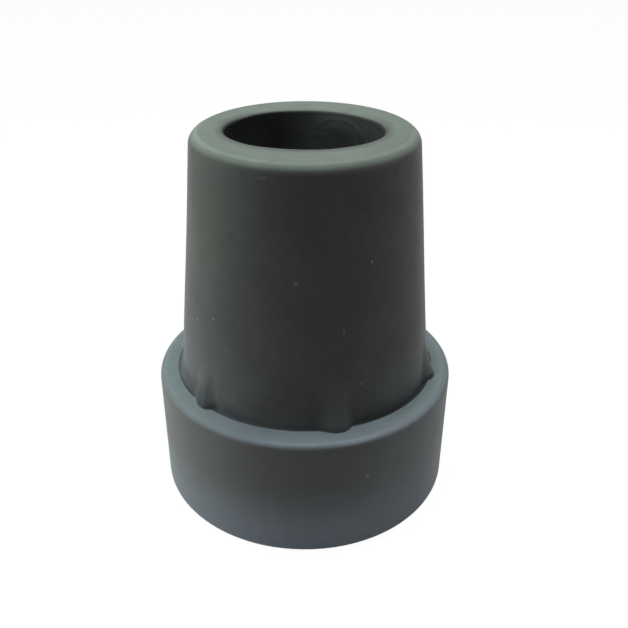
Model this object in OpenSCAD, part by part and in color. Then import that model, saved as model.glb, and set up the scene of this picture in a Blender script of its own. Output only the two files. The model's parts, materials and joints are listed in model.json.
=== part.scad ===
// Rubber cane tip, moulded in one piece: a tapered sleeve with a blind socket
// for the cane's shaft stands on a broad foot, with gusset ribs where they meet
// and concentric tread rings under the sole.
// The axis is Z, the sole rests on z = 0, and all sizes are in millimetres.
// The foot and the sleeve are one turned section. Each of its round edges is a
// sector of a circle, so every round edge turns into a true torus.

/* [Overall] */
// Height from the sole to the top of the sleeve
tip_h = 49.6; // [40:0.1:65]

/* [Foot] */
// Diameter of the foot
foot_d = 40; // [38:0.5:50]
// Height of the flat collar ring on top of the foot
foot_h = 17.2; // [12:0.1:24]
// Radius of the foot's upper edge
foot_edge_r = 0.9; // [0.4:0.1:1.2]
// Radius of the edge between the foot's wall and the sole
sole_edge_r = 1; // [0.4:0.1:2]

/* [Sleeve] */
// Diameter of the sleeve at the height of the collar ring
sleeve_base_d = 33.8; // [28:0.1:34.5]
// Diameter that the tapered wall would have at the top, without the round edge
sleeve_top_d = 27.8; // [25:0.1:32]
// Radius of the sleeve's upper outer edge
sleeve_edge_r = 1.5; // [0.4:0.1:2]

/* [Socket] */
// Bore of the socket, which is the diameter of the shaft that it grips
socket_d = 19; // [15:0.5:20.5]
// Depth of the socket from the top of the sleeve
socket_depth = 38; // [28:0.5:44]
// Radius of the round lip at the socket's mouth
socket_lip_r = 0.4; // [0.3:0.1:1]
// Radius of the fillet round the socket's floor
socket_floor_r = 2; // [0.5:0.1:4]

/* [Collar] */
// Radius of the fillet between the sleeve and the collar ring
collar_fillet_r = 0.6; // [0.3:0.1:1]

/* [Gusset ribs] */
// Number of ribs round the foot of the sleeve
rib_count = 6; // [3:1:8]
// Height above the collar ring at which a rib runs out into the sleeve
rib_h = 5.5; // [3:0.5:10]
// How far a rib reaches past the sleeve at the collar ring
rib_reach = 0.9; // [0.7:0.1:1.6]
// Width of a rib
rib_w = 3.2; // [2.4:0.1:5]
// Radius of a rib's two outer edges
rib_edge_r = 1.1; // [0.4:0.1:1.1]
// Angle of the first rib from the X axis
rib_turn = -17.5; // [-60:0.5:60]

/* [Tread] */
// Number of ring grooves in the sole
tread_rings = 3; // [1:1:3]
// Depth of the ring grooves and of the hollow at the centre
tread_depth = 2; // [1.4:0.1:3]
// Width of a ring groove
tread_groove_w = 2.2; // [1.6:0.1:2.4]
// Width of a ridge between two grooves
tread_ridge_w = 2.2; // [1.6:0.1:2.6]
// Width of the outer land, measured from the foot's wall
tread_land_w = 3.5; // [2.5:0.1:4]

/* [Hidden] */
$fn = 96;

foot_r = foot_d / 2;
socket_r = socket_d / 2;
taper = atan((sleeve_base_d - sleeve_top_d) / 2 / (tip_h - foot_h));
socket_floor_z = tip_h - socket_depth;
// How far a cut runs past the surface that it opens through
beyond = 1;
// How deep a rib is rooted in the foot
rib_root = 1;
// Angle at which the sleeve's round edge crosses the tapered wall. It keeps the
// two from meeting along a tangent, and lifts the edge by 3 thousandths of its radius.
edge_bite = 4;
// Angle at which the collar's fillet crosses the ring and the wall, for the same
// reason. It is larger than the wall's taper, so that the fillet ends on the wall.
fillet_bite = 9;

// Radius of the sleeve's tapered wall at a height
function sleeve_r(z) = sleeve_base_d / 2 - (z - foot_h) * tan(taper);

// Point on a circle round a centre
function on_arc(centre, r, angle) = centre + r * [cos(angle), sin(angle)];

// Sector of a disc, less than 180 degrees wide
module sector(centre, r, from, to) {
    middle = (from + to) / 2;
    intersection() {
        translate(centre) circle(r);
        polygon([
            centre,
            on_arc(centre, 2 * r, from),
            on_arc(centre, 3 * r, middle),
            on_arc(centre, 2 * r, to)
        ]);
    }
}

// Half section of the foot and the sleeve. The outline runs by way of the centre
// of each round edge, and a sector fills it out.
module body_section() {
    sole_edge = [foot_r - sole_edge_r, sole_edge_r];
    foot_edge = [foot_r - foot_edge_r, foot_h - foot_edge_r];
    top_edge_z = tip_h - sleeve_edge_r;
    top_edge_in = sleeve_edge_r * cos(edge_bite) / cos(taper);
    top_edge = [sleeve_r(top_edge_z) - top_edge_in, top_edge_z];
    polygon([
        [0, 0],
        [sole_edge.x, 0],
        sole_edge,
        [foot_r, sole_edge.y],
        [foot_r, foot_edge.y],
        foot_edge,
        [foot_edge.x, foot_h],
        [sleeve_r(foot_h), foot_h],
        [sleeve_r(top_edge_z), top_edge_z],
        top_edge,
        [top_edge.x, tip_h],
        [0, tip_h]
    ]);
    sector(sole_edge, sole_edge_r, -90, 0);
    sector(foot_edge, foot_edge_r, 0, 90);
    sector(top_edge, sleeve_edge_r, taper - 3 * edge_bite, 90);
    collar_fillet();
}

// Section of the fillet in the corner between the collar ring and the tapered wall
module collar_fillet() {
    out = collar_fillet_r * cos(fillet_bite);
    centre = [sleeve_r(foot_h + out) + out / cos(taper), foot_h + out];
    inner = [sleeve_r(foot_h), foot_h] - [collar_fillet_r, collar_fillet_r];
    difference() {
        translate(inner) square(centre - inner);
        translate(centre) circle(collar_fillet_r);
    }
}

// Half section of the socket, from its filleted floor to its flared mouth
module socket_section() {
    floor_edge = [socket_r - socket_floor_r, socket_floor_z + socket_floor_r];
    lip = [socket_r + socket_lip_r, tip_h - socket_lip_r];
    polygon([
        [0, socket_floor_z],
        [floor_edge.x, socket_floor_z],
        floor_edge,
        [socket_r, floor_edge.y],
        [socket_r, tip_h + beyond],
        [0, tip_h + beyond]
    ]);
    sector(floor_edge, socket_floor_r, -90, 0);
    difference() {
        translate([socket_r, lip.y]) square([socket_lip_r, socket_lip_r + beyond]);
        translate(lip) circle(socket_lip_r);
    }
}

// Half section of the tread: ring grooves with half-round roofs, and a hollow
// at the centre that is bounded by the innermost ridge
module tread_section() {
    roof_r = tread_groove_w / 2;
    pitch = tread_groove_w + tread_ridge_w;
    hollow_r = foot_r - tread_land_w - tread_rings * pitch;
    for (i = [0 : tread_rings - 1])
        translate([foot_r - tread_land_w - i * pitch - roof_r, 0]) {
            translate([-roof_r, -beyond]) square([tread_groove_w, beyond + tread_depth - roof_r]);
            sector([0, tread_depth - roof_r], roof_r, 0, 90);
            sector([0, tread_depth - roof_r], roof_r, 90, 180);
        }
    translate([0, -beyond]) square([hollow_r, beyond + tread_depth]);
}

// Section of a rib across its length, with its outer face on the Y axis
module rib_section() {
    root = sleeve_r(foot_h) - socket_r - beyond;
    edge_x = -rib_edge_r;
    edge_y = rib_w / 2 - rib_edge_r;
    polygon([
        [-root, -rib_w / 2],
        [edge_x, -rib_w / 2],
        [edge_x, -edge_y],
        [0, -edge_y],
        [0, edge_y],
        [edge_x, edge_y],
        [edge_x, rib_w / 2],
        [-root, rib_w / 2]
    ]);
    sector([edge_x, -edge_y], rib_edge_r, -90, 0);
    sector([edge_x, edge_y], rib_edge_r, 0, 90);
}

// A gusset rib that leans against the sleeve. Its outer face stands rib_reach
// clear of the wall at the collar ring and meets it rib_h higher up.
module gusset_rib() {
    foot_at = sleeve_r(foot_h) + rib_reach;
    lean = atan((foot_at - sleeve_r(foot_h + rib_h)) / rib_h);
    translate([foot_at, 0, foot_h])
        rotate([0, -lean, 0])
            translate([0, 0, -rib_root])
                linear_extrude(rib_root + rib_h / cos(lean)) rib_section();
}

// The moulding as it comes out of its tool
module cane_tip() {
    color("dimgray")
        difference() {
            union() {
                rotate_extrude() body_section();
                for (i = [0 : rib_count - 1])
                    rotate([0, 0, rib_turn + i * 360 / rib_count]) gusset_rib();
            }
            rotate_extrude() socket_section();
            rotate_extrude() tread_section();
        }
}

cane_tip();
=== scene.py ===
"""Looks of the rubber cane tip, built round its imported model.

The tip is one moulding, so it is one piece: a closed surface turned about the
Z axis, with gusset ribs raised round the foot of the sleeve. Sizes are given in
millimetres and become metres as the mesh is made.
"""

import json
import logging
import math
from dataclasses import dataclass
from enum import Enum
from typing import Any, Mapping, Union

import bpy
import numpy as np
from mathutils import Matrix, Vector


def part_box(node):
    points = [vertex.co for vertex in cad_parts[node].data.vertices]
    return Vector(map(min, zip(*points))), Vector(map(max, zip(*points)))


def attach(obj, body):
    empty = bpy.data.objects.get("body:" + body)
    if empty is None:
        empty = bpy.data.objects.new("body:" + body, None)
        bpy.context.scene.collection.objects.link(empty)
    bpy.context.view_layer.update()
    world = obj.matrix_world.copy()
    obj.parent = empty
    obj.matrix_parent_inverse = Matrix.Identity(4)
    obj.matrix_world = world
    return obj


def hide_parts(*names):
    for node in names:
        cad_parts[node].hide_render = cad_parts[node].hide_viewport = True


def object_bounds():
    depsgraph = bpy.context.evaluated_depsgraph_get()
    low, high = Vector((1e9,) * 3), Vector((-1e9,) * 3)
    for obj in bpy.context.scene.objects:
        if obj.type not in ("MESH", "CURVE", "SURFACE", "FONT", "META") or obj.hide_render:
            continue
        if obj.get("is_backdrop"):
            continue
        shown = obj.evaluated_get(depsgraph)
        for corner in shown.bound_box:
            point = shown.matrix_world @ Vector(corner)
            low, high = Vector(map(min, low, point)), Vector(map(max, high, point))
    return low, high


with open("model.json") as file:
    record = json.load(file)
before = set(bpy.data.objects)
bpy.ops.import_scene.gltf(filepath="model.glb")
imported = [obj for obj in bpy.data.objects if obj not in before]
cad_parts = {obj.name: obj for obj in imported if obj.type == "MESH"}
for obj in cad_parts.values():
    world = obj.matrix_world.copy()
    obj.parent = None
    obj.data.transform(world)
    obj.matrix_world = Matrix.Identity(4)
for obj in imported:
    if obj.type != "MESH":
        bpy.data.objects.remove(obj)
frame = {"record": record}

LOG = logging.getLogger("cane_tip")
MM = 0.001
BODY = "root"
NODE = "cane_tip"
SLOT = "grey_rubber"
BOX_MARGIN = 0.01
SHARP_ANGLE = 50.0

Rgb = tuple[float, float, float]
Span = tuple[float, float]
Stretch = tuple[np.ndarray, np.ndarray]


def rgba(colour: Rgb) -> tuple[float, float, float, float]:
    """Returns a colour with full opacity."""
    return (*colour, 1.0)


# --------------------------------------------------------------------------
# Shader maths
# --------------------------------------------------------------------------


class Shade(Enum):
    """Colours of the rubber and of what lies on it, and of painted light and shade."""

    DARK = (0.056, 0.058, 0.056)
    LIGHT = (0.072, 0.075, 0.072)
    # Partly painted bounce light from the collar ring.
    FILM_AND_BOUNCE_LIGHT = (0.088, 0.102, 0.106)
    # Pale dust, and painted light in the corner and on the sleeve's low sides.
    DUST_AND_PAINTED_LIGHT = (0.130, 0.148, 0.150)
    DUST = (0.42, 0.43, 0.41)
    # Painted shade in the corner, on the rib flanks, in the fillet and on the ring; the
    # second also marks grime specks and the third dark specks.
    PAINTED_SHADE = (0.048, 0.060, 0.065)
    GRIME_AND_PAINTED_SHADE = (0.036, 0.038, 0.040)
    DARK_SPECK_AND_PAINTED_SHADE = (0.013, 0.015, 0.018)
    FOOT = (0.093, 0.100, 0.097)
    # Painted light at the foot's sides and on its right side, with dust there too, and
    # painted bounce light from the floor near the ground.
    FOOT_LIT_SIDES = (0.124, 0.135, 0.131)
    FOOT_DUST_AND_LIGHT = (0.160, 0.184, 0.190)
    FLOOR_BOUNCE_LIGHT = (0.175, 0.204, 0.236)
    # Blooming with painted top light, painted highlights on the round edges, and painted
    # side light on the ring.
    TOP_BLOOM_AND_LIGHT = (0.170, 0.214, 0.185)
    TOP_EDGE_HIGHLIGHT = (0.224, 0.282, 0.244)
    RING_BLOOM_AND_LIGHT = (0.180, 0.224, 0.260)
    RING_LIT_SIDES = (0.248, 0.322, 0.325)
    EDGE_SIDES = (0.182, 0.217, 0.224)
    EDGE_HIGHLIGHT = (0.252, 0.305, 0.344)
    EDGE_HIGHLIGHT_SIDES = (0.222, 0.270, 0.306)
    SOCKET_WALL = (0.020, 0.0215, 0.0235)
    # Paler from a shaft's rubbing and from painted light.
    RUBBED_AND_LIT = (0.092, 0.105, 0.099)
    RUB_MARKS = (0.150, 0.166, 0.150)


class Socket:
    """An output socket on which the arithmetic operators add Math nodes."""

    def __init__(self, tree: "Tree", link: bpy.types.NodeSocket) -> None:
        """Wraps a socket.

        Args:
            tree: The tree that new nodes go into.
            link: The output socket itself.
        """
        self.tree = tree
        self.link = link

    def __add__(self, other: "Value") -> "Socket":
        """Returns the sum."""
        return self.tree.math("ADD", self, other)

    __radd__ = __add__

    def __mul__(self, other: "Value") -> "Socket":
        """Returns the product."""
        return self.tree.math("MULTIPLY", self, other)

    __rmul__ = __mul__

    def __sub__(self, other: "Value") -> "Socket":
        """Returns the difference."""
        return self.tree.math("SUBTRACT", self, other)

    def __rsub__(self, other: "Value") -> "Socket":
        """Returns the difference, with this socket taken away."""
        return self.tree.math("SUBTRACT", other, self)

    def __truediv__(self, other: "Value") -> "Socket":
        """Returns the quotient."""
        return self.tree.math("DIVIDE", self, other)

    def __pow__(self, other: "Value") -> "Socket":
        """Returns the power."""
        return self.tree.math("POWER", self, other)

    def __abs__(self) -> "Socket":
        """Returns the value without its sign."""
        return self.tree.math("ABSOLUTE", self)


Value = Union[Socket, Shade, float, int, tuple]


class Tree:
    """A node tree of a material or of the world, filled through one method."""

    def __init__(self, nodes: bpy.types.NodeTree) -> None:
        """Empties a node tree and keeps it.

        Args:
            nodes: The node tree to fill.
        """
        self.nodes = nodes
        nodes.nodes.clear()

    def node(self, kind: str, settings: Mapping[str, Any] | None = None,
             sockets: Mapping[Any, Value] | None = None, out: Any = 0) -> Socket | None:
        """Adds any node.

        Args:
            kind: The node's type, such as ShaderNodeTexNoise.
            settings: The node's own settings, set before its sockets.
            sockets: Values or links of its input sockets, by name or number.
            out: The name or number of the output that is wanted.

        Returns:
            That output, wrapped, or None if the node has no output.
        """
        made = self.nodes.nodes.new(kind)
        for name, value in (settings or {}).items():
            setattr(made, name, value)
        for name, value in (sockets or {}).items():
            if isinstance(value, Socket):
                self.nodes.links.new(value.link, made.inputs[name])
            else:
                made.inputs[name].default_value = value
        return Socket(self, made.outputs[out]) if len(made.outputs) else None

    def math(self, operation: str, *values: Value) -> Socket:
        """Adds a Math node.

        Args:
            operation: The node's operation.
            values: Its one or two inputs.

        Returns:
            The result.
        """
        return self.node("ShaderNodeMath", {"operation": operation},
                         dict(enumerate(values)))

    def larger(self, *values: Value) -> Socket:
        """Picks the largest of some values.

        Args:
            values: Two or more values, the first of them a link.

        Returns:
            The largest.
        """
        first, *others = values
        for other in others:
            first = self.math("MAXIMUM", first, other)
        return first

    def vector(self, operation: str, *values: Value, out: int = 0,
               scale: Value | None = None) -> Socket:
        """Adds a Vector Math node.

        Args:
            operation: The node's operation.
            values: Its vector inputs.
            out: 0 for the vector, 1 for the number.
            scale: The scale, where the operation takes one.

        Returns:
            The result.
        """
        sockets: dict[Any, Value] = dict(enumerate(values))
        if scale is not None:
            sockets["Scale"] = scale
        return self.node("ShaderNodeVectorMath", {"operation": operation}, sockets, out)

    def length(self, vector: Socket) -> Socket:
        """Returns a vector's length."""
        return self.vector("LENGTH", vector, out=1)

    def part(self, vector: Socket, axis: str) -> Socket:
        """Returns the X, Y or Z of a vector."""
        return self.node("ShaderNodeSeparateXYZ", None, {0: vector}, axis)

    def join(self, **parts: Value) -> Socket:
        """Returns a vector from its X, Y and Z. One that isn't given is 0."""
        return self.node("ShaderNodeCombineXYZ", None, parts)

    def mix(self, factor: Value, low: Value, high: Value) -> Socket:
        """Blends two colours.

        Args:
            factor: 0 for low, 1 for high.
            low: A shade, a colour or a link.
            high: A shade, a colour or a link.

        Returns:
            The blended colour.
        """
        ends = [c.value if isinstance(c, Shade) else c for c in (low, high)]
        low, high = (rgba(c) if isinstance(c, tuple) else c for c in ends)
        return self.node("ShaderNodeMix", {"data_type": "RGBA"},
                         {"Factor": factor, 6: low, 7: high}, 2)

    def step(self, value: Value, start: float, end: float,
             before: float = 0.0, after: float = 1.0) -> Socket:
        """Changes smoothly as a value goes from start to end.

        Args:
            value: The value that is tested.
            start: Where the change starts.
            end: Where the change ends. It may lie below start.
            before: The result up to start.
            after: The result from end on.

        Returns:
            The result.
        """
        if start > end:
            start, end, before, after = end, start, after, before
        return self.node("ShaderNodeMapRange", {"interpolation_type": "SMOOTHSTEP"}, {
            "Value": value, "From Min": start, "From Max": end,
            "To Min": before, "To Max": after})


@dataclass(frozen=True)
class Noise:
    """A noise, by its waves per unit, octaves, their strength and distortion."""

    scale: float
    detail: float = 2.0
    rough: float = 0.5
    bend: float = 0.0

    def over(self, tree: Tree, where: Socket) -> Socket:
        """Adds the noise texture.

        Args:
            tree: The material's tree.
            where: The coordinates.

        Returns:
            The noise, about 0.5 on average.
        """
        return tree.node("ShaderNodeTexNoise", None, {
            "Vector": where, "Scale": self.scale, "Detail": self.detail,
            "Roughness": self.rough, "Distortion": self.bend})


# --------------------------------------------------------------------------
# Form
# --------------------------------------------------------------------------


@dataclass(frozen=True)
class Form:
    """The sizes that the mesh and the finish share, in millimetres."""

    height: float
    foot_r: float
    socket_r: float
    foot_h: float = 17.2
    sleeve_base_r: float = 16.9
    sleeve_top_r: float = 13.9
    socket_depth: float = 38.0
    fillet_sway: float = 0.29
    mouth_squeeze: float = 1.15

    @property
    def slope(self) -> float:
        """How much the tapered wall draws in to a unit of height."""
        return (self.sleeve_base_r - self.sleeve_top_r) / (self.height - self.foot_h)

    def sleeve_r(self, z: Any) -> Any:
        """Returns the radius of the tapered wall at a height."""
        return self.sleeve_base_r - (z - self.foot_h) * self.slope


@dataclass(frozen=True)
class RibPlaces:
    """Where the gusset ribs stand round the axis, for the mesh and the finish.

    They are even but for a drift, which is a sine of the azimuth.
    """

    count: int = 6
    turn: float = -18.0
    drift: float = 2.1
    phase: float = 124.0

    def off(self, azimuth: np.ndarray) -> np.ndarray:
        """Returns the angle to the nearest rib's middle.

        Args:
            azimuth: Angles in radians.

        Returns:
            Signed angles in radians.
        """
        pitch = 2 * math.pi / self.count
        drift = math.radians(self.drift) * np.sin(azimuth + math.radians(self.phase))
        off = azimuth - math.radians(self.turn) - drift
        return off - pitch * np.round(off / pitch)

    def across(self, tree: Tree, x: Socket, y: Socket, radius: Socket) -> Socket:
        """Does the same in a material, as a signed distance along the surface.

        Args:
            tree: The material's tree.
            x: The point's X.
            y: The point's Y.
            radius: The distance from the axis.

        Returns:
            The distance from the nearest rib's middle, against the clock positive.
        """
        pitch = 2 * math.pi / self.count
        azimuth = tree.math("ARCTAN2", y, x)
        drift = tree.math("SINE", azimuth + math.radians(self.phase))
        off = azimuth - drift * math.radians(self.drift) - math.radians(self.turn)
        turns = off * (1.0 / pitch)
        return (turns - tree.math("ROUND", turns)) * radius * pitch


# --------------------------------------------------------------------------
# Ramps and layers
# --------------------------------------------------------------------------


class Along(Enum):
    """What a ramp runs along. Lengths are in millimetres."""

    X = "X"
    Y = "Y"
    Z = "Z"
    ASIDE = "distance from the plane X = 0"
    UP = "height above the collar ring"
    DEPTH = "depth below the top face"
    OVER_FLOOR = "height above the socket's floor"
    RADIUS = "distance from the axis"
    FACING = "upward part of the surface's normal"
    ACROSS = "distance from a rib's middle, against the clock positive"
    OFF_RIB = "distance from a rib's middle, without a sign"
    PAST_FILLET = "distance out from the foot of the collar's fillet"
    FROM_BORE = "distance out from the round bore"
    FROM_LIP = "distance out from the oval mouth"


@dataclass(frozen=True)
class Ramp:
    """A smooth change from one value to another along a measure."""

    along: Along
    start: float
    end: float
    before: float = 0.0
    after: float = 1.0


class Spot:
    """The point that is shaded, with its measures."""

    def __init__(self, tree: Tree, form: Form, ribs: RibPlaces) -> None:
        """Takes the measures from the Object coordinates and the true normal.

        Args:
            tree: The material's tree.
            form: The tip's main sizes.
            ribs: Where the ribs stand.
        """
        self.tree = tree
        self.where = tree.vector("SCALE", tree.node("ShaderNodeTexCoord", out="Object"),
                                 scale=1.0 / MM)
        x, y, z = (tree.part(self.where, axis) for axis in "XYZ")
        radius = tree.length(tree.join(X=x, Y=y))
        turned = (x / radius) ** 2.0
        across = ribs.across(tree, x, y, radius)
        # The collar's fillet is widest along X, where it sways out, and ends close
        # to the sleeve along Y: its foot follows the squared cosine of the azimuth.
        fillet_r = turned * (2.0 * form.fillet_sway) + form.sleeve_base_r
        self.measures = {
            Along.X: x,
            Along.Y: y,
            Along.Z: z,
            Along.ASIDE: abs(x),
            Along.UP: z - form.foot_h,
            Along.DEPTH: form.height - z,
            Along.OVER_FLOOR: z - (form.height - form.socket_depth),
            Along.RADIUS: radius,
            Along.FACING: tree.part(
                tree.node("ShaderNodeNewGeometry", out="Normal"), "Z"),
            Along.ACROSS: across,
            Along.OFF_RIB: abs(across),
            Along.PAST_FILLET: radius - fillet_r,
            Along.FROM_BORE: radius - form.socket_r,
            Along.FROM_LIP: radius - form.socket_r + (1.0 - turned) * form.mouth_squeeze,
        }

    def share(self, *ramps: Ramp) -> Socket:
        """Multiplies what some ramps give at the point.

        Args:
            ramps: The ramps, at least one.

        Returns:
            The product.
        """
        first, *others = [self.tree.step(self.measures[ramp.along], ramp.start, ramp.end,
                                         ramp.before, ramp.after) for ramp in ramps]
        for other in others:
            first = first * other
        return first

    def noise(self, noise: Noise) -> Socket:
        """Returns a noise over the coordinates."""
        return noise.over(self.tree, self.where)


@dataclass(frozen=True)
class Layer:
    """A coat of one shade, which hides as much as its cover times its ramps."""

    shade: Shade
    cover: float
    ramps: tuple[Ramp, ...]

    def over(self, spot: Spot, colour: Socket) -> Socket:
        """Lays the coat on a colour.

        Args:
            spot: The shaded point.
            colour: The colour below.

        Returns:
            The colour.
        """
        return spot.tree.mix(spot.share(*self.ramps) * self.cover, colour, self.shade)


SIDES = Ramp(Along.ASIDE, 4.0, 19.0)
RIGHT = Ramp(Along.X, 4.0, 10.0)
NOT_RIGHT = Ramp(Along.X, 10.0, 4.0)
LEFT = Ramp(Along.X, -3.0, -11.0)
NOT_LEFT = Ramp(Along.X, -11.0, -3.0)
IN_CORNER = Ramp(Along.UP, 3.0, 0.0)
RIB_LOW = Ramp(Along.UP, 4.5, 0.8)
CREST = (Ramp(Along.ACROSS, -1.5, -0.5), Ramp(Along.ACROSS, 1.5, 0.5),
         Ramp(Along.UP, 5.0, 2.0))
FILLET = (Ramp(Along.FACING, 0.1, 0.4), Ramp(Along.UP, 0.75, 0.6))

# Painted shade and painted light in the corner between the sleeve and the collar ring, in
# order.
CORNER_PAINTED_LIGHT_AND_SHADE = (
    # Painted light in front, painted shade on the left, mostly between the ribs, and on
    # the right.
    Layer(Shade.DUST_AND_PAINTED_LIGHT, 0.5, (IN_CORNER, NOT_RIGHT, NOT_LEFT)),
    Layer(Shade.PAINTED_SHADE, 1.0, (IN_CORNER, LEFT, Ramp(Along.OFF_RIB, 2.8, 4.5, 0.5, 0.9))),
    Layer(Shade.GRIME_AND_PAINTED_SHADE, 0.4, (Ramp(Along.UP, 2.0, 0.3), RIGHT)),
    # Painted shade along the two flanks of each rib.
    Layer(Shade.GRIME_AND_PAINTED_SHADE, 0.2, (Ramp(Along.ACROSS, 0.9, 1.6), Ramp(Along.ACROSS, 3.0, 1.9),
                             NOT_LEFT, RIB_LOW)),
    Layer(Shade.GRIME_AND_PAINTED_SHADE, 0.2, (Ramp(Along.ACROSS, -0.9, -1.6),
                             Ramp(Along.ACROSS, -4.2, -2.6),
                             Ramp(Along.X, -3.0, -11.0, 1.0, 1.7),
                             Ramp(Along.X, 4.0, 10.0, 1.0, 0.1), RIB_LOW)),
    # Painted light on one flank of the left rib and painted shade on the other, like the
    # corner by it.
    Layer(Shade.DUST_AND_PAINTED_LIGHT, 1.0, (Ramp(Along.ACROSS, 0.7, 1.3), Ramp(Along.ACROSS, 2.7, 1.7),
                               LEFT, RIB_LOW, Ramp(Along.UP, 0.5, 2.0, 0.15, 0.8))),
    Layer(Shade.GRIME_AND_PAINTED_SHADE, 0.75, (Ramp(Along.ACROSS, -3.2, -1.6),
                              Ramp(Along.ACROSS, 0.6, -0.2), LEFT,
                              Ramp(Along.UP, 3.2, 1.2))),
    Layer(Shade.GRIME_AND_PAINTED_SHADE, 0.25, (Ramp(Along.OFF_RIB, 2.8, 4.5), LEFT,
                              Ramp(Along.UP, 2.0, 0.4))),
    # Crests: painted light on the right of the tip, painted shade on the left.
    Layer(Shade.DUST_AND_PAINTED_LIGHT, 0.15, (*CREST, RIGHT)),
    Layer(Shade.PAINTED_SHADE, 0.35, (*CREST, LEFT)),
    # The fillet itself: painted shade, with painted light at the back left, and the
    # darkest painted shade on the right.
    Layer(Shade.PAINTED_SHADE, 1.0, (*FILLET, NOT_RIGHT, Ramp(Along.X, -3.0, -11.0, 0.35, 0.85))),
    Layer(Shade.DUST_AND_PAINTED_LIGHT, 0.7, (*FILLET, LEFT, Ramp(Along.Y, -9.0, -4.0))),
    Layer(Shade.DARK_SPECK_AND_PAINTED_SHADE, 0.9, (*FILLET, RIGHT)),
)


# --------------------------------------------------------------------------
# Finish
# --------------------------------------------------------------------------


@dataclass(frozen=True)
class SleeveSkin:
    """The sleeve's wall: two shades of rubber, with pale filmy patches low down that
    are partly painted bounce light from the collar ring.

    Painted light pales the low sides, and a painted light tint makes the lit left
    side lean to green high up and a little paler low down. The corner holds
    painted light and shade.
    """

    broad: Noise = Noise(0.055, 3.0, 0.55, 0.3)
    fine: Noise = Noise(0.9, 4.0, 0.6)
    broad_share: float = 0.75
    shades: Span = (0.38, 0.62)
    film_and_bounce: Noise = Noise(0.11, 3.0, 0.55)
    film_and_bounce_patches: Span = (0.30, 0.65)
    film_and_bounce_height: Ramp = Ramp(Along.Z, 36.0, 20.0, 0.0, 0.55)
    lit_low_sides: Layer = Layer(Shade.DUST_AND_PAINTED_LIGHT, 0.5, (Ramp(Along.UP, 11.0, 2.0), SIDES))
    left: Ramp = Ramp(Along.X, -2.0, -10.0)
    tint_height: Ramp = Ramp(Along.Z, 27.0, 40.0)
    low_tint: Rgb = (1.020, 1.060, 1.060)
    high_tint: Rgb = (0.925, 1.010, 0.925)

    def colour(self, spot: Spot) -> Socket:
        """Mixes the wall's colour and lays the corner's dirt on it.

        Args:
            spot: The shaded point.

        Returns:
            The colour.
        """
        tree = spot.tree
        mottle = (spot.noise(self.broad) * self.broad_share
                  + spot.noise(self.fine) * (1.0 - self.broad_share))
        colour = tree.mix(tree.step(mottle, *self.shades), Shade.DARK, Shade.LIGHT)
        # Pale filmy patches low down, partly painted bounce light from the collar ring.
        film_and_bounce = tree.step(spot.noise(self.film_and_bounce), *self.film_and_bounce_patches)
        colour = tree.mix(film_and_bounce * spot.share(self.film_and_bounce_height), colour, Shade.FILM_AND_BOUNCE_LIGHT)
        # Painted light paling the low sides.
        colour = self.lit_low_sides.over(spot, colour)
        # Painted light tint on the lit left side.
        tint = tree.mix(spot.share(self.tint_height), self.low_tint, self.high_tint)
        colour = tree.mix(spot.share(self.left), colour,
                          tree.vector("MULTIPLY", colour, tint))
        for layer in CORNER_PAINTED_LIGHT_AND_SHADE:
            colour = layer.over(spot, colour)
        return colour


@dataclass(frozen=True)
class FootSkin:
    """The foot's wall, with painted light at its sides, dust and painted light on its
    right side, and painted bounce light from the floor near the ground.

    Each cover is its least value, and how much of the noise comes on top.
    """

    patches: Noise = Noise(0.2, 3.0)
    dust_and_light_side: Ramp = Ramp(Along.X, 4.0, 19.0)
    dust_and_light: Span = (0.45, 0.5)
    floor_bounce_height: Ramp = Ramp(Along.Z, 12.0, 0.5)
    floor_bounce: Span = (0.75, 0.6)
    floor_bounce_off_sides: float = 0.35

    def colour(self, spot: Spot) -> Socket:
        """Mixes the foot's colour.

        Args:
            spot: The shaded point.

        Returns:
            The colour.
        """
        tree = spot.tree
        patch = spot.noise(self.patches)
        # Painted light at the sides.
        sides = spot.share(SIDES)
        # Dust and painted light on the right side.
        dust_and_light = spot.share(self.dust_and_light_side) * (self.dust_and_light[0] + patch * self.dust_and_light[1])
        colour = tree.mix(dust_and_light, tree.mix(sides, Shade.FOOT, Shade.FOOT_LIT_SIDES),
                          Shade.FOOT_DUST_AND_LIGHT)
        # Painted bounce light from the floor near the ground, less at the sides.
        floor_bounce = spot.share(self.floor_bounce_height) * (
            self.floor_bounce[0] + patch * self.floor_bounce[1] - sides * self.floor_bounce_off_sides)
        return tree.mix(floor_bounce, colour, Shade.FLOOR_BOUNCE_LIGHT)


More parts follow.
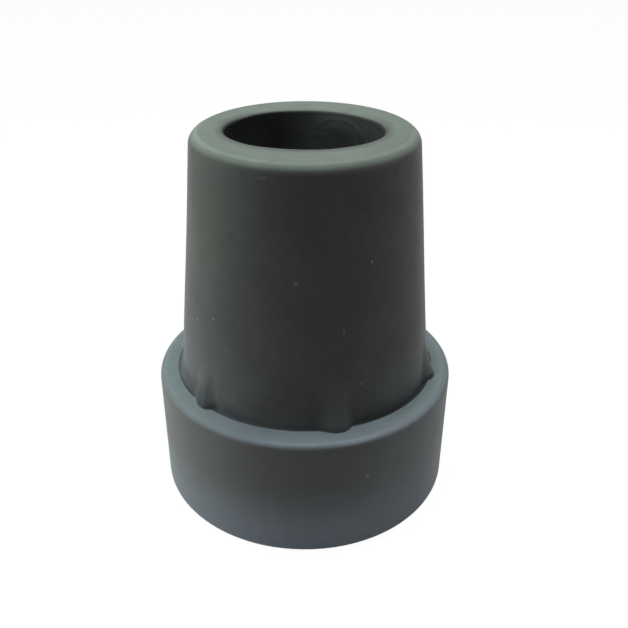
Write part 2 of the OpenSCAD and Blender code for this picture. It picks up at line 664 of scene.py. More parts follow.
@dataclass(frozen=True)
class BloomAndTopLight:
    """Pale blooming on the top face and the collar ring, partly painted top light,
    with painted highlights along their round edges and painted side light on the
    ring.

    It thins out round the mouth, most of all in front, on the left and at the
    mouth's two ends.
    """

    patches: Noise = Noise(0.35, 3.0, 0.55)
    facing: Ramp = Ramp(Along.FACING, 0.35, 0.82)
    cover: Span = (0.60, 0.5)
    level_middle: Ramp = Ramp(Along.FACING, 0.75, 0.98)
    level_sides: Ramp = Ramp(Along.FACING, 0.86, 1.0)
    edge: tuple[Ramp, ...] = (
        Ramp(Along.FACING, 1.0, 0.97), Ramp(Along.FACING, 0.79, 0.91))
    round_edge: tuple[Ramp, ...] = (
        Ramp(Along.FACING, 1.0, 0.94), Ramp(Along.X, 1.0, 7.0))
    ring_highlight_side: Ramp = Ramp(Along.X, -7.0, -1.0)
    top_highlight_front: Ramp = Ramp(Along.Y, 2.0, -4.0)
    ring_shade_band: tuple[Ramp, ...] = (
        Ramp(Along.RADIUS, 19.2, 17.6), Ramp(Along.X, 8.0, 13.0))
    ring_shade_cover: float = 0.24
    high_up: Ramp = Ramp(Along.UP, 2.0, 4.0)
    thin_lip: Ramp = Ramp(Along.FROM_LIP, 1.7, 0.3, 0.0, 0.66)
    thin_front: Ramp = Ramp(Along.Y, 8.0, -2.0)
    thin_left: Ramp = Ramp(Along.X, -5.0, -9.0)
    thin_right: Ramp = Ramp(Along.X, 3.0, 12.0, 0.0, 0.08)
    thin_ends: tuple[Ramp, ...] = (
        Ramp(Along.ASIDE, 8.0, 9.6), Ramp(Along.Y, 1.0, -2.0),
        Ramp(Along.FROM_LIP, 1.0, 0.1, 0.0, 0.25))

    def colour(self, spot: Spot, on_foot: Socket) -> Socket:
        """Mixes the colour of the blooming and of its painted light, highlights and shade.

        Args:
            spot: The shaded point.
            on_foot: 1 on the foot, 0 on the sleeve.

        Returns:
            The colour.
        """
        tree = spot.tree
        sides = spot.share(SIDES)
        level = (spot.share(self.level_middle) * (1.0 - sides)
                 + spot.share(self.level_sides) * sides)
        # Painted highlights along the round edges.
        edge = spot.share(*self.edge)
        highlit = (tree.larger(edge, spot.share(*self.round_edge))
                  * spot.share(self.ring_highlight_side))
        # Painted side light on the ring's flat at the sides; its round edge there keeps a
        # plainer tone.
        ring = tree.mix(sides, Shade.RING_BLOOM_AND_LIGHT,
                        tree.mix(level, Shade.EDGE_SIDES, Shade.RING_LIT_SIDES))
        ring = tree.mix(highlit, ring, tree.mix(sides, Shade.EDGE_HIGHLIGHT,
                                               Shade.EDGE_HIGHLIGHT_SIDES))
        # Painted shade on the ring beside the sleeve, on the right.
        ring_shading = spot.share(*self.ring_shade_band) * level * self.ring_shade_cover
        ring = tree.mix(ring_shading, ring, Shade.GRIME_AND_PAINTED_SHADE)
        # Painted highlight on the top face's front edge.
        top = tree.mix(edge * spot.share(self.top_highlight_front), Shade.TOP_BLOOM_AND_LIGHT,
                       Shade.TOP_EDGE_HIGHLIGHT)
        return tree.mix(on_foot, top, ring)

    def hides(self, spot: Spot, on_foot: Socket) -> Socket:
        """Finds how much of the rubber the blooming and its painted top light hide.

        Args:
            spot: The shaded point.
            on_foot: 1 on the foot, 0 on the sleeve.

        Returns:
            The cover, from 0 to 1.
        """
        tree = spot.tree
        # Less of it round the mouth and a little on the right.
        thinned = (spot.share(self.thin_lip) * tree.larger(spot.share(self.thin_front),
                                                        spot.share(self.thin_left))
                + spot.share(self.thin_right) + spot.share(*self.thin_ends))
        on_top = spot.share(self.high_up) * tree.larger(1.0 - thinned, 0.0)
        cover = self.cover[0] + spot.noise(self.patches) * self.cover[1]
        # Faces that look up take most of it: blooming and painted top light.
        return spot.share(self.facing) * cover * tree.larger(on_foot, on_top)


@dataclass(frozen=True)
class SocketSkin:
    """The socket, paled on one side by a shaft's rubbing and by painted light.

    The rubbing ends in an arc round a point low on that side of the wall: a pale
    line with a darker patch within it. Fainter arcs are noise over the distance
    from the same point. Painted light and shade scale the wall: it is darkest at
    the lip, brighter further down, darker deep down, and brighter in the middle
    than at the mouth's ends.
    """

    rub_centre: Rgb = (4.6, 7.5, 43.0)
    rub_r: float = 5.8
    sway: Noise = Noise(0.35, 2.0)
    sway_size: float = 1.2
    arcs: Noise = Noise(1.0, 3.0, 0.55)
    arcs_stretch: Rgb = (0.85, 0.10, 0.10)
    arcs_ramp: Span = (0.50, 0.66)
    arcs_cover: float = 0.45
    line_ramp: Span = (0.45, 0.1)
    line_cover: float = 0.55
    within_w: float = 0.7
    within_cover: float = 0.35
    rubbed_and_lit_side: Ramp = Ramp(Along.X, -4.5, 4.0)
    marked_side: Ramp = Ramp(Along.X, 0.0, 3.5)
    nick_centre: Rgb = (1.9, 8.5, 46.0)
    nick_r: float = 0.5
    nick_core: float = 0.4
    nick_stretch: Rgb = (0.55, 1.0, 1.3)
    nick_sway: Noise = Noise(0.8, 2.0)
    nick_sway_size: float = 0.5
    nick_cover: float = 0.4
    rim_at: float = 1.8
    rim_ramp: Span = (0.4, 0.05)
    rim_above: Span = (-0.1, 0.5)
    rim_cover: float = 0.25
    light_slope: float = 0.8
    light_at_lip: float = 0.35
    light_range: Span = (0.45, 4.5)
    low_shade: Ramp = Ramp(Along.DEPTH, 6.0, 11.0, 1.0, 0.2)
    side_shade: Ramp = Ramp(Along.ASIDE, 1.5, 9.5, 1.9, 0.55)

    def colour(self, spot: Spot) -> Socket:
        """Mixes the socket's colour.

        Args:
            spot: The shaded point.

        Returns:
            The colour.
        """
        tree = spot.tree
        away = (tree.vector("DISTANCE", spot.where, self.rub_centre, out=1)
                + (spot.noise(self.sway) - 0.5) * self.sway_size)
        ring = tree.join(**{axis: value * stretch for axis, value, stretch in zip(
            "XYZ", (away, spot.measures[Along.X], spot.measures[Along.Z]),
            self.arcs_stretch)})
        arcs = tree.step(self.arcs.over(tree, ring), *self.arcs_ramp)
        line = tree.step(abs(away - self.rub_r), *self.line_ramp)
        within = tree.step(away, self.rub_r, self.rub_r - self.within_w)
        marked = spot.share(self.marked_side)
        # Paler on the right: a shaft's rubbing and painted light.
        colour = tree.mix(spot.share(self.rubbed_and_lit_side), Shade.SOCKET_WALL, Shade.RUBBED_AND_LIT)
        colour = tree.mix(within * marked * self.within_cover, colour, Shade.SOCKET_WALL)
        marks = tree.larger(line * self.line_cover, arcs * self.arcs_cover) * marked
        colour = self._nick(spot, tree.mix(marks, colour, Shade.RUB_MARKS))
        # Painted light and shade, by depth and by the distance from the middle.
        least, most = self.light_range
        light = spot.measures[Along.DEPTH] * self.light_slope + self.light_at_lip
        deep = tree.math("MINIMUM", tree.larger(light, least), most)
        return tree.vector("SCALE", colour, scale=deep * spot.share(self.low_shade,
                                                                    self.side_shade))

    def _nick(self, spot: Spot, colour: Socket) -> Socket:
        """Darkens a nick in the wall and pales the rubber above it.

        Args:
            spot: The shaded point.
            colour: The wall's colour.

        Returns:
            The colour.
        """
        tree = spot.tree
        off = tree.vector("MULTIPLY", tree.vector("SUBTRACT", spot.where,
                                                  self.nick_centre), self.nick_stretch)
        away = tree.length(off) + (spot.noise(self.nick_sway) - 0.5) * self.nick_sway_size
        rim = (tree.step(abs(away - self.nick_r * self.rim_at), *self.rim_ramp)
               * tree.step(tree.part(off, "Z"), *self.rim_above))
        colour = tree.mix(rim * self.rim_cover, colour, Shade.RUB_MARKS)
        nick = tree.step(away, self.nick_r, self.nick_r * self.nick_core)
        return tree.mix(nick * self.nick_cover, colour, Shade.SOCKET_WALL)


@dataclass(frozen=True)
class Speck:
    """A speck or nick in the outer wall, at an azimuth in degrees and a height."""

    azimuth: float
    z: float
    radius: float
    strength: float
    tall: float = 1.0
    core: float = 0.3

    def hides(self, spot: Spot, form: Form) -> Socket:
        """Finds how much of the surface the speck hides.

        Args:
            spot: The shaded point.
            form: The tip's main sizes.

        Returns:
            The cover, from 0 to the speck's strength.
        """
        tree = spot.tree
        turn = math.radians(self.azimuth)
        wall_r = form.foot_r if self.z < form.foot_h else form.sleeve_r(self.z)
        off = tree.vector("SUBTRACT", spot.where, (
            wall_r * math.cos(turn), wall_r * math.sin(turn), self.z))
        away = tree.length(tree.vector("MULTIPLY", off, (1.0, 1.0, 1.0 / self.tall)))
        return tree.step(away, self.radius, self.radius * self.core) * self.strength


@dataclass(frozen=True)
class Scatter:
    """Round specks strewn over the surface.

    Each cell of a pattern of random points holds one speck at its point, and a
    random value leaves the bare share of the cells empty. The radius is a share
    of a cell, and sizes are the least factor on it and the most that chance adds.
    """

    cells_per_mm: float
    radius: float
    bare: float
    shift: Rgb = (0.0, 0.0, 0.0)
    sizes: Span = (0.35, 0.65)
    core: float = 0.45

    def hides(self, spot: Spot) -> Socket:
        """Finds how much of the surface the specks hide.

        Args:
            spot: The shaded point.

        Returns:
            The cover, from 0 to 1.
        """
        tree = spot.tree
        sockets = {"Vector": tree.vector("ADD", spot.where, self.shift),
                   "Scale": self.cells_per_mm, "Randomness": 1.0}
        near = tree.node("ShaderNodeTexVoronoi", None, sockets, "Distance")
        dice = tree.node("ShaderNodeTexVoronoi", None, sockets, "Color")
        size = self.sizes[0] + tree.part(dice, "Y") * self.sizes[1]
        return (tree.step(near / size, self.radius, self.radius * self.core)
                * tree.math("GREATER_THAN", tree.part(dice, "X"), self.bare))


@dataclass(frozen=True)
class RubberFinish:
    """Matt moulded rubber with pale blooming that is partly painted top light, painted
    light and shade, specks, and a socket wall paled by a shaft's rubbing and by painted
    light.
    """

    form: Form
    ribs: RibPlaces
    sleeve: SleeveSkin = SleeveSkin()
    foot: FootSkin = FootSkin()
    bloom_and_top_light: BloomAndTopLight = BloomAndTopLight()
    socket: SocketSkin = SocketSkin()
    on_foot: tuple[Ramp, ...] = (Ramp(Along.PAST_FILLET, 0.0, 0.15),
                                 Ramp(Along.UP, 0.25, 0.1))
    in_socket: tuple[Ramp, ...] = (Ramp(Along.FROM_BORE, 0.9, 0.6),
                                   Ramp(Along.OVER_FLOOR, -0.5, -0.1))
    mouth_ends: Ramp = Ramp(Along.ASIDE, 7.0, 9.5, 0.0, 0.3)
    upright: Span = (0.75, 0.35)
    below_lip: Ramp = Ramp(Along.DEPTH, 1.5, 2.5)
    light_scatter: Scatter = Scatter(0.17, 0.035, 0.75)
    light_cover: float = 0.4
    dark_scatter: Scatter = Scatter(0.23, 0.05, 0.75, (37.0, 11.0, 53.0))
    dark_cover: float = 0.6
    light_specks: tuple[Speck, ...] = (
        Speck(300.3, 38.0, 0.26, 0.26),
        Speck(266.2, 36.3, 0.36, 0.16),
        Speck(212.9, 28.1, 0.32, 0.20),
        Speck(225.7, 29.7, 0.28, 0.22),
        Speck(286.7, 30.1, 0.20, 0.17, 3.2),
        Speck(294.3, 22.8, 0.28, 0.15),
        Speck(292.8, 11.6, 0.30, 0.36),
        Speck(251.1, 48.0, 0.90, 0.08, 0.30),
    )
    dark_specks: tuple[Speck, ...] = (
        Speck(305.2, 11.9, 0.20, 0.80),
        Speck(298.0, 44.2, 0.16, 0.50),
    )
    roughness: float = 0.62
    smudge: Noise = Noise(0.12, 3.0, 0.6)
    smudge_size: float = 0.16
    speck_roughness: float = 0.2
    socket_polish: float = 0.14
    specular: float = 0.10
    ior: float = 1.52
    sheen: float = 0.15
    sheen_roughness: float = 0.35
    grain: Noise = Noise(3.2, 3.0, 0.6)
    grain_depth: float = 0.12
    grain_strength: float = 0.16
    speck_height: float = 0.8
    swell: Noise = Noise(0.28, 2.0, 0.5)
    swell_depth: float = 0.25
    swell_strength: float = 0.35

    def material(self) -> bpy.types.Material:
        """Builds the material.

        Returns:
            The rubber, patterned on Object coordinates. Only the outside has a
            sheen, because a shaft rubs the socket's wall.
        """
        made = bpy.data.materials.new(SLOT)
        made.use_nodes = True
        tree = Tree(made.node_tree)
        spot = Spot(tree, self.form, self.ribs)
        in_socket = self._in_socket(spot)
        on_foot = spot.share(*self.on_foot)
        colour = tree.mix(on_foot, self.sleeve.colour(spot), self.foot.colour(spot))
        # Blooming with painted top light, side light and highlights, kept out of the
        # socket.
        cover = self.bloom_and_top_light.hides(spot, on_foot) * (1.0 - in_socket)
        colour = tree.mix(cover, colour, self.bloom_and_top_light.colour(spot, on_foot))
        colour = tree.mix(in_socket, colour, self.socket.colour(spot))
        light = self.light_scatter.hides(spot)
        for hidden, shade in (
                (light * self.light_cover, Shade.DUST),
                (self.dark_scatter.hides(spot) * self.dark_cover, Shade.GRIME_AND_PAINTED_SHADE),
                (self._placed(spot, self.light_specks), Shade.DUST),
                (self._placed(spot, self.dark_specks), Shade.DARK_SPECK_AND_PAINTED_SHADE)):
            colour = tree.mix(hidden, colour, shade)
        rough = (self.roughness + (spot.noise(self.smudge) - 0.5) * self.smudge_size
                 + light * self.speck_roughness - in_socket * self.socket_polish)
        normal = self._relief(spot, light)
        outside, inside = (tree.node("ShaderNodeBsdfPrincipled", None, {
            "Base Color": colour, "Roughness": rough, "Normal": normal,
            "Specular IOR Level": self.specular, "IOR": self.ior,
            "Sheen Weight": sheen, "Sheen Roughness": self.sheen_roughness})
            for sheen in (self.sheen, 0.0))
        shader = tree.node("ShaderNodeMixShader", None,
                           {0: in_socket, 1: outside, 2: inside})
        tree.node("ShaderNodeOutputMaterial", None, {"Surface": shader})
        return made

    def _in_socket(self, spot: Spot) -> Socket:
        """Finds the socket's inside, which starts on the round of its lip.

        Args:
            spot: The shaded point.

        Returns:
            1 inside, 0 outside.
        """
        tree = spot.tree
        facing = spot.measures[Along.FACING] - spot.share(self.mouth_ends)
        upright = tree.larger(tree.step(facing, *self.upright),
                              spot.share(self.below_lip))
        return spot.share(*self.in_socket) * upright

    def _placed(self, spot: Spot, specks: tuple[Speck, ...]) -> Socket:
        """Finds how much of the surface some placed specks hide.

        Args:
            spot: The shaded point.
            specks: The specks, each on the foot's wall or on the sleeve's.

        Returns:
            The cover, from 0 to 1.
        """
        return spot.tree.larger(*(speck.hides(spot, self.form) for speck in specks))

    def _relief(self, spot: Spot, specks: Socket) -> Socket:
        """Bends the normal for the moulded grain and for slow unevenness.

        Args:
            spot: The shaded point.
            specks: Cover of the light specks, which stand proud.

        Returns:
            The bent normal.
        """
        first = spot.tree.node("ShaderNodeBump", None, {
            "Height": spot.noise(self.grain) + specks * self.speck_height,
            "Strength": self.grain_strength, "Distance": self.grain_depth * MM})
        return spot.tree.node("ShaderNodeBump", None, {
            "Height": spot.noise(self.swell), "Strength": self.swell_strength,
            "Distance": self.swell_depth * MM, "Normal": first})


# --------------------------------------------------------------------------
# The moulding
# --------------------------------------------------------------------------


@dataclass(frozen=True)
class Unevenness:
    """A slow waver round the axis, made of a few sines of the azimuth."""

    size: float
    turns: tuple[int, ...]
    phases: tuple[float, ...]

    def at(self, azimuth: np.ndarray) -> np.ndarray:
        """Works out the waver: the mean of sin(turn x azimuth + phase), times size.

        Args:
            azimuth: Angles in radians.

        Returns:
            The waver, of the same shape.
        """
        waves = [np.sin(k * azimuth + p) for k, p in zip(self.turns, self.phases)]
        return self.size * np.mean(waves, axis=0)


@dataclass(frozen=True)
class Dent:
    """A dent in the mouth's edge. A negative depth is a bulge."""

    azimuth: float
    depth: float
    power: float

    def at(self, azimuth: np.ndarray) -> np.ndarray:
        """Works out the dent, which lies on one side of the axis only.

        Its depth is multiplied by that power of the cosine of the azimuth from
        its own.

        Args:
            azimuth: Angles in radians.

        Returns:
            How far the edge lies further in, of the same shape.
        """
        toward = np.cos(azimuth - math.radians(self.azimuth))
        return self.depth * np.maximum(toward, 0.0) ** self.power


@dataclass(frozen=True)
class Rows:
    """Numbers of points along the stretches of the section, ends included."""

    floor: int = 5
    floor_fillet: int = 8
    socket_wall: int = 26
    lip: int = 7
    face: int = 9
    top_edge: int = 14
    upper_wall: int = 30
    lower_wall: int = 26
    collar_fillet: int = 9
    ring: int = 5
    foot_edge: int = 10
    foot_wall: int = 18
    sole_edge: int = 8
    groove_edge: int = 4
    groove_roof: int = 13
    hollow_wall: int = 4
    hollow: int = 6


def smooth_step(value: np.ndarray, start: float, end: float) -> np.ndarray:
    """Returns 3t^2 - 2t^3, where t runs from 0 at start to 1 at end.

    Args:
        value: The tested values.
        start: Where the result is 0.
        end: Where the result is 1.

    Returns:
        The result, from 0 to 1.
    """
    t = np.clip((value - start) / (end - start), 0.0, 1.0)
    return t * t * (3.0 - 2.0 * t)


def arc(centre: Span, radius: float, start: float, end: float, count: int) -> Stretch:
    """Returns points at even steps along an arc.

    Args:
        centre: The centre's distance from the axis and height.
        radius: The arc's radius.
        start: The first angle in degrees.
        end: The last angle in degrees.
        count: Number of points.

    Returns:
        Their distances from the axis and their heights.
    """
    angle = np.radians(np.linspace(start, end, count))
    return centre[0] + radius * np.cos(angle), centre[1] + radius * np.sin(angle)


@dataclass(frozen=True)
class CaneTip(Form):
    """The whole tip: sleeve, socket, foot, gusset ribs and tread, in millimetres."""

    foot_edge_r: float = 0.9
    sole_edge_r: float = 1.0
    sleeve_edge_r: float = 1.5
    lip_r: float = 0.4
    socket_floor_r: float = 2.0
    collar_fillet_r: float = 0.6
    fillet_w: float = 0.36
    fillet_on_rib: float = 0.25
    rib_h: float = 5.5
    rib_run_out: float = 1.15
    rib_zone: float = 1.2
    rib_from: float = 0.1
    rib_reach: float = 0.9
    rib_more: float = 0.35
    rib_near: Span = (0.0, 3.0)
    rib_far: Span = (0.4, 2.5)
    rib_taper: float = 0.5
    rib_sag: float = 1.7
    ribs: RibPlaces = RibPlaces()
    tread_rings: int = 3
    tread_depth: float = 2.0
    tread_groove_w: float = 2.2
    tread_ridge_w: float = 2.2
    tread_land_w: float = 3.5
    tread_edge_r: float = 0.25
    rib_columns: int = 36
    gap_columns: int = 26
    columns_to_degree: float = 2.0
    rows: Rows = Rows()
    row_bunching: float = 1.3
    ring_gap: float = 0.25
    sleeve_waver: Unevenness = Unevenness(0.05, (2, 3, 5), (0.4, 2.1, 4.0))
    waver_twist: float = 0.05
    waver_from: Span = (1.0, 8.0)
    waver_slack: float = 0.1
    lip_waver: Unevenness = Unevenness(0.10, (3, 5, 7), (0.3, 1.2, 5.1))
    mouth_spread: float = 0.25
    mouth_dents: tuple[Dent, ...] = (
        Dent(38.0, 0.42, 3.0), Dent(14.0, 0.33, 12.0), Dent(158.0, 0.38, 12.0),
        Dent(250.0, 0.14, 2.0), Dent(350.0, -0.16, 12.0), Dent(192.0, -0.14, 12.0))
    squeeze_depth: float = 11.0
    squeeze_top: float = 0.5
    squeeze_inside: float = 0.6
    squeeze_outside: float = 1.7

    @classmethod
    def from_frame(cls, record: Mapping[str, Any]) -> "CaneTip":
        """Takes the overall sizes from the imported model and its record.

        Args:
            record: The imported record.

        Returns:
            The tip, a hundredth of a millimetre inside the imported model's box.
        """
        low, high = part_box(NODE)
        bore = next(m for m in record["mounts"] if m["name"] == "shaft_socket")
        return cls(height=high.z / MM, foot_r=(high.x - low.x) / 2 / MM - BOX_MARGIN,
                   socket_r=bore["dims"]["r_mm"])

    def azimuths(self) -> np.ndarray:
        """Spaces the columns: close together over the ribs, wider between them.

        Returns:
            Angles in radians, one turn without its end.
        """
        pitch = 360.0 / self.ribs.count
        half = self.rib_columns / self.columns_to_degree / 2
        over = np.linspace(-half, half, self.rib_columns, endpoint=False)
        between = np.linspace(half, pitch - half, self.gap_columns, endpoint=False)
        one = np.concatenate([over, between])
        starts = self.ribs.turn + pitch * np.arange(self.ribs.count)
        return np.radians((starts[:, None] + one[None, :]).ravel())

    def wall_r(self, azimuth: np.ndarray, z: np.ndarray) -> np.ndarray:
        """Returns the radius of the outer wall above the collar ring, ribs included.

        A rib stands on the cone like a soft gusset. Its height over the cone is
        rib_reach plus rib_more times the squared cosine of the azimuth at the
        collar ring, and falls to nothing a little above rib_h along a power of
        the height. It is multiplied by a bump across the rib, which falls along
        smooth steps from the edges of the flat crest and narrows upward by the
        share rib_taper.

        Args:
            azimuth: Angles in radians, as a column.
            z: Heights, as a row.

        Returns:
            The radii, one row to an angle.
        """
        off = self.ribs.off(azimuth)
        cone = self.sleeve_r(z) + 0.0 * off
        up = np.clip(1.0 - (z - self.foot_h) / (self.rib_h * self.rib_run_out), 0.0, 1.0)
        across = cone * np.sin(off) / (1.0 - self.rib_taper * (1.0 - up))
        bump = ((1.0 - smooth_step(-across, *self.rib_near))
                * (1.0 - smooth_step(across, *self.rib_far)))
        reach = self.rib_reach + self.rib_more * np.cos(azimuth) ** 2
        return cone + reach * up ** self.rib_sag * bump

    def section(self, azimuth: np.ndarray) -> Stretch:
        """Lays out the half section at each azimuth, from socket floor to sole.

        The line starts beside the axis on the socket's floor, runs up the
        socket's wall and over the lip, down the sleeve, along the collar's
        fillet, over the foot and under the sole to the centre hollow. The empty
        mouth has sagged a little oval: its lip lies further in by mouth_squeeze
        times the squared sine of the azimuth, and further out by mouth_spread
        times the squared cosine. It also has a few dents.

        Args:
            azimuth: Angles in radians.

        Returns:
            Distances from the axis and heights, one row to an angle.
        """
        column = azimuth[:, None]
        stretches = [*self._socket(), *self._sleeve(column), self._collar(column),
                     *self._foot(), *self._tread()]
        full = [np.broadcast_arrays(*np.atleast_2d(r, z), column)[:2]
                for r, z in stretches]
        radius, height = (np.concatenate(side, axis=1) for side in zip(*full))
        waver = self.sleeve_waver.at(column + height * self.waver_twist)
        on_sleeve = smooth_step(height, *(self.foot_h + up for up in self.waver_from))
        outside = radius > (self.sleeve_r(self.height) - self.sleeve_edge_r
                            - self.waver_slack)
        radius = radius + waver * on_sleeve * outside
        near_lip = smooth_step(height, self.height - self.squeeze_depth,
                               self.height - self.squeeze_top)
        inside = smooth_step(-radius, self.squeeze_outside - self.sleeve_top_r,
                             -self.socket_r - self.squeeze_inside)
        out = (self.lip_waver.at(column) + self.mouth_spread * np.cos(column) ** 2
               - self.mouth_squeeze * np.sin(column) ** 2
               - sum(dent.at(column) for dent in self.mouth_dents))
        return radius + out * near_lip * inside, height

    def _socket(self) -> list[Stretch]:
        """Lays out the socket's floor, fillet, wall and lip.

        Returns:
            Stretches of the section, from the axis up to the top face.
        """
        floor = self.height - self.socket_depth
        inner = self.socket_r - self.socket_floor_r
        lip_z = self.height - self.lip_r
        rows = self.rows
        flat_r = np.linspace(inner / rows.floor, inner, rows.floor)[:-1]
        wall_z = np.linspace(floor + self.socket_floor_r, lip_z, rows.socket_wall)[1:-1]
        return [
            (flat_r, np.full_like(flat_r, floor)),
            arc((inner, floor + self.socket_floor_r), self.socket_floor_r, -90, 0,
                rows.floor_fillet),
            (np.full_like(wall_z, self.socket_r), wall_z),
            arc((self.socket_r + self.lip_r, lip_z), self.lip_r, 180, 90, rows.lip),
        ]

    def _sleeve(self, column: np.ndarray) -> list[Stretch]:
        """Lays out the top face, its round outer edge and the tapered wall.

        Args:
            column: Angles in radians, as a column.

        Returns:
            Stretches of the section.
        """
        rows = self.rows
        tilt = math.atan(self.slope)
        edge_z = self.height - self.sleeve_edge_r
        edge_r = (self.sleeve_r(edge_z + self.sleeve_edge_r * math.sin(tilt))
                  - self.sleeve_edge_r * math.cos(tilt))
        face_r = np.linspace(self.socket_r + self.lip_r, edge_r, rows.face)[1:-1]
        ribs_end = self.foot_h + self.rib_h * self.rib_zone
        upper = np.linspace(edge_z, ribs_end, rows.upper_wall)[1:]
        fillet_top = self.foot_h + self.collar_fillet_r
        lower = fillet_top + (ribs_end - fillet_top) * np.linspace(
            1, 0, rows.lower_wall)[1:-1] ** self.row_bunching
        return [
            (face_r, np.full_like(face_r, self.height)),
            arc((edge_r, edge_z), self.sleeve_edge_r, 90, math.degrees(tilt),
                rows.top_edge),
            (self.sleeve_r(upper), upper),
            (self.wall_r(column, lower[None, :]), lower[None, :]),
        ]

    def _collar(self, column: np.ndarray) -> Stretch:
        """Lays out the fillet between the wall and the collar ring.

        The fillet is a quarter of an ellipse: collar_fillet_r high, and fillet_w
        wide give or take fillet_sway times the cosine of twice the azimuth. On a
        rib it starts from the rib's own face and shrinks to a quarter.

        Args:
            column: Angles in radians, as a column.

        Returns:
            The stretch, down the wall and out to the flat ring.
        """
        wall = self.wall_r(column, np.array([[self.foot_h]]))
        on_rib = smooth_step(wall - self.sleeve_base_r, self.rib_from, self.rib_reach)
        size = 1.0 - (1.0 - self.fillet_on_rib) * on_rib
        wide = (self.fillet_w + self.fillet_sway * np.cos(2 * column)) * size
        high = self.collar_fillet_r * size
        turn = np.radians(np.linspace(180, 270, self.rows.collar_fillet))[None, :]
        top = self.wall_r(column, self.foot_h + high)
        return (top + (wall + wide - top) * (1 + np.cos(turn)),
                self.foot_h + high * (1 + np.sin(turn)))

    def _foot(self) -> list[Stretch]:
        """Lays out the collar ring's top, the foot's wall and its two round edges.

        Returns:
            Stretches of the section, from the fillet down to the sole.
        """
        rows = self.rows
        top_end = self.foot_r - self.foot_edge_r
        wall_end = self.foot_h - self.foot_edge_r
        ring_from = self.sleeve_base_r + self.rib_reach + self.rib_more + self.ring_gap
        ring = np.linspace(ring_from, top_end, rows.ring)[:-1]
        wall = np.linspace(wall_end, self.sole_edge_r, rows.foot_wall)[1:-1]
        return [
            (ring, np.full_like(ring, self.foot_h)),
            arc((top_end, wall_end), self.foot_edge_r, 90, 0, rows.foot_edge),
            (np.full_like(wall, self.foot_r), wall),
            arc((self.foot_r - self.sole_edge_r, self.sole_edge_r), self.sole_edge_r,
                0, -90, rows.sole_edge),
        ]

    def _tread(self) -> list[Stretch]:
        """Lays out the ring grooves of the sole and the hollow at its centre.

        Returns:
            Stretches of the section, from the outer land in to the axis.
        """
        rows = self.rows
        half = self.tread_groove_w / 2
        pitch = self.tread_groove_w + self.tread_ridge_w
        small = self.tread_edge_r
        pieces = []
        for ring in range(self.tread_rings):
            middle = self.foot_r - self.tread_land_w - ring * pitch - half
            pieces += [
                arc((middle + half + small, small), small, -90, -180, rows.groove_edge),
                arc((middle, self.tread_depth - half), half, 0, 180, rows.groove_roof),
                arc((middle - half - small, small), small, 0, -90, rows.groove_edge),
            ]
        hollow = self.foot_r - self.tread_land_w - self.tread_rings * pitch
        wall = np.linspace(small, self.tread_depth, rows.hollow_wall)[1:]
        flat = np.linspace(hollow, 0, rows.hollow)[1:-1]
        return pieces + [
            arc((hollow + small, small), small, -90, -180, rows.groove_edge),
            (np.full_like(wall, hollow), wall),
            (flat, np.full_like(flat, self.tread_depth)),
        ]

    def mesh(self) -> bpy.types.Mesh:
        """Turns the section about the axis into one closed surface.

        A point is (r cos a, r sin a, z), with r and z from the section at the
        azimuth a. The first and last rings close on a point of the axis.

        Returns:
            The mesh, in metres.
        """
        azimuth = self.azimuths()
        radius, height = self.section(azimuth)
        columns, rows = radius.shape
        grid = np.stack([radius * np.cos(azimuth)[:, None],
                         radius * np.sin(azimuth)[:, None], height], axis=-1)
        poles = np.array([[0, 0, height[0, 0]], [0, 0, height[0, -1]]])
        points = np.concatenate([grid.reshape(-1, 3), poles]) * MM
        first = np.arange(columns) * rows
        second = (np.arange(columns) + 1) % columns * rows
        along = np.arange(rows - 1)[None, :]
        here, after = first[:, None] + along, second[:, None] + along
        quads = np.stack([here, here + 1, after + 1, after], axis=-1).reshape(-1, 4)
        floor_fan = np.stack([first, second, np.full(columns, columns * rows)], axis=-1)
        sole_fan = np.stack([second + rows - 1, first + rows - 1,
                             np.full(columns, columns * rows + 1)], axis=-1)
        made = bpy.data.meshes.new(NODE)
        fill_mesh(made, points, [quads, floor_fan, sole_fan])
        made.set_sharp_from_angle(angle=math.radians(SHARP_ANGLE))
        return made

    def build(self) -> bpy.types.Object:
        """Makes the piece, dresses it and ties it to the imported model.

        Returns:
            The finished piece.
        """
        piece = bpy.data.objects.new("cane_tip_moulding", self.mesh())
        bpy.context.scene.collection.objects.link(piece)
        piece.data.materials.append(RubberFinish(self, self.ribs).material())
        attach(piece, BODY)
        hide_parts(NODE)
        LOG.info("%s: %d vertices, %d faces", piece.name, len(piece.data.vertices),
                 len(piece.data.polygons))
        return piece


def fill_mesh(mesh: bpy.types.Mesh, points: np.ndarray, groups: list[np.ndarray]) -> None:
    """Puts whole arrays of points and faces into an empty mesh.

    Args:
        mesh: The empty mesh.
        points: One row of three coordinates to a point.
        groups: Arrays of faces, each with one number of corners.
    """
    corners = np.concatenate([g.ravel() for g in groups]).astype(np.int32)
    sizes = np.concatenate([np.full(len(g), g.shape[1]) for g in groups])
    starts = np.concatenate([[0], np.cumsum(sizes)[:-1]]).astype(np.int32)
    mesh.vertices.add(len(points))
    mesh.vertices.foreach_set("co", points.astype(np.float32).ravel())
    mesh.loops.add(len(corners))
    mesh.loops.foreach_set("vertex_index", corners)
    mesh.polygons.add(len(sizes))
    mesh.polygons.foreach_set("loop_start", starts)
    mesh.polygons.foreach_set("use_smooth", np.ones(len(sizes), bool))
    mesh.update(calc_edges=True)
    mesh.validate()


# --------------------------------------------------------------------------
# Studio
# --------------------------------------------------------------------------


class Backdrop(Enum):
    """How bright the surroundings look and how much light they give."""

    SEEN = 1.0
    GIVEN = 0.0


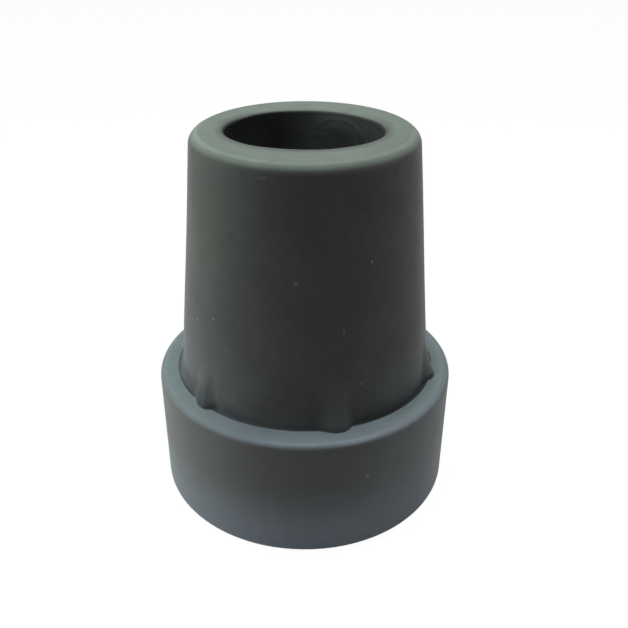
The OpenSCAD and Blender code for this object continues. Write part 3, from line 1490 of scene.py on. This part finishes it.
@dataclass(frozen=True)
class Softbox:
    """A square lamp that hangs on a sphere round the tip and looks at it.

    Angles are in degrees, and lengths in metres.
    """

    name: str
    azimuth: float
    elevation: float
    distance: float
    size: float
    watts: float
    colour: Rgb = (1.0, 1.0, 1.0)

    def build(self, target: Vector) -> bpy.types.Object:
        """Hangs the lamp.

        Args:
            target: The point that it looks at, in metres.

        Returns:
            The lamp.
        """
        data = bpy.data.lights.new(self.name, "AREA")
        data.shape = "SQUARE"
        data.size = self.size
        data.energy = self.watts
        data.color = self.colour
        lamp = bpy.data.objects.new(self.name, data)
        turn, rise = math.radians(self.azimuth), math.radians(self.elevation)
        back = Vector((math.sin(turn) * math.cos(rise), -math.cos(turn) * math.cos(rise),
                       math.sin(rise)))
        lamp.location = target + back * self.distance
        lamp.rotation_euler = (-back).to_track_quat("-Z", "Y").to_euler()
        lamp.visible_camera = False
        bpy.context.scene.collection.objects.link(lamp)
        LOG.info("lamp %s", self.name)
        return lamp


@dataclass(frozen=True)
class Studio:
    """Floor, surroundings, lamps and camera.

    Places and the floor are in metres, the lens and its sensor in millimetres.
    """

    lens: float = 44.656
    sensor: float = 36.0
    shift_x: float = 0.0145
    camera_y: float = -0.0923
    camera_z: float = 0.07585
    camera_dip: float = 29.32
    clip_start: float = 0.005
    floor_size: float = 3.0
    floor_white: Rgb = (0.80, 0.80, 0.80)
    shadow_share: float = 0.06
    floor_glow: float = 1.04
    lamps: tuple[Softbox, ...] = (
        Softbox("lamp_top", 0.0, 89.0, 0.25, 0.10, 0.40),
        Softbox("lamp_top_left", -90.0, 70.0, 0.25, 0.10, 0.09),
        Softbox("lamp_left", -95.0, 0.0, 0.30, 0.16, 1.00, (0.95, 1.0, 0.96)),
        Softbox("lamp_right", 110.0, 45.0, 0.30, 0.12, 0.19),
        Softbox("lamp_back", 180.0, 75.0, 0.25, 0.10, 0.03),
    )

    def build(self) -> None:
        """Sets up everything that isn't part of the tip."""
        scene = bpy.context.scene
        scene.view_settings.view_transform = "Standard"
        self._world(scene)
        self._floor(scene)
        low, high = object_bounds()
        for lamp in self.lamps:
            lamp.build((low + high) / 2)
        self._camera(scene)

    @staticmethod
    def _seen_directly(tree: Tree) -> Socket:
        """Returns 1 for rays from the camera and for mirrored and refracted ones."""
        return tree.larger(*(tree.node("ShaderNodeLightPath", out=name) for name in
                             ("Is Camera Ray", "Is Glossy Ray", "Is Transmission Ray")))

    def _world(self, scene: bpy.types.Scene) -> None:
        """Makes the surroundings white to look at and dim as a light.

        Args:
            scene: The scene.
        """
        world = bpy.data.worlds.new("surroundings")
        world.use_nodes = True
        tree = Tree(world.node_tree)
        strength = (Backdrop.GIVEN.value + self._seen_directly(tree)
                    * (Backdrop.SEEN.value - Backdrop.GIVEN.value))
        shader = tree.node("ShaderNodeBackground", None,
                           {"Color": rgba((1.0, 1.0, 1.0)), "Strength": strength})
        tree.node("ShaderNodeOutputWorld", None, {"Surface": shader})
        scene.world = world

    def _floor(self, scene: bpy.types.Scene) -> None:
        """Lays a white floor that keeps a faint shadow.

        Args:
            scene: The scene.
        """
        half = self.floor_size / 2
        corners = np.array([[-half, -half, 0], [half, -half, 0],
                            [half, half, 0], [-half, half, 0]])
        mesh = bpy.data.meshes.new("floor")
        fill_mesh(mesh, corners, [np.array([[0, 1, 2, 3]])])
        floor = bpy.data.objects.new("floor", mesh)
        scene.collection.objects.link(floor)
        material = bpy.data.materials.new("floor_white")
        material.use_nodes = True
        tree = Tree(material.node_tree)
        matt = tree.node("ShaderNodeBsdfDiffuse", None, {"Color": rgba(self.floor_white)})
        glow = tree.node("ShaderNodeEmission", None, {"Strength": self.floor_glow})
        mixed = tree.node("ShaderNodeMixShader", None, {
            0: self._seen_directly(tree) * (1.0 - self.shadow_share), 1: matt, 2: glow})
        tree.node("ShaderNodeOutputMaterial", None, {"Surface": mixed})
        mesh.materials.append(material)
        floor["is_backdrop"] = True
        LOG.info("floor laid")

    def _camera(self, scene: bpy.types.Scene) -> None:
        """Places the camera.

        Args:
            scene: The scene.
        """
        data = bpy.data.cameras.new("camera")
        data.lens = self.lens
        data.sensor_width = self.sensor
        data.shift_x = self.shift_x
        data.clip_start = self.clip_start
        camera = bpy.data.objects.new("camera", data)
        camera.location = (0.0, self.camera_y, self.camera_z)
        camera.rotation_euler = (math.radians(90.0 - self.camera_dip), 0.0, 0.0)
        scene.collection.objects.link(camera)
        scene.camera = camera


def main() -> None:
    """Builds the tip and its studio."""
    logging.basicConfig(level=logging.INFO, format="%(name)s: %(message)s")
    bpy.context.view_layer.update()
    CaneTip.from_frame(frame["record"]).build()
    Studio().build()


if __name__ == "__main__":
    main()
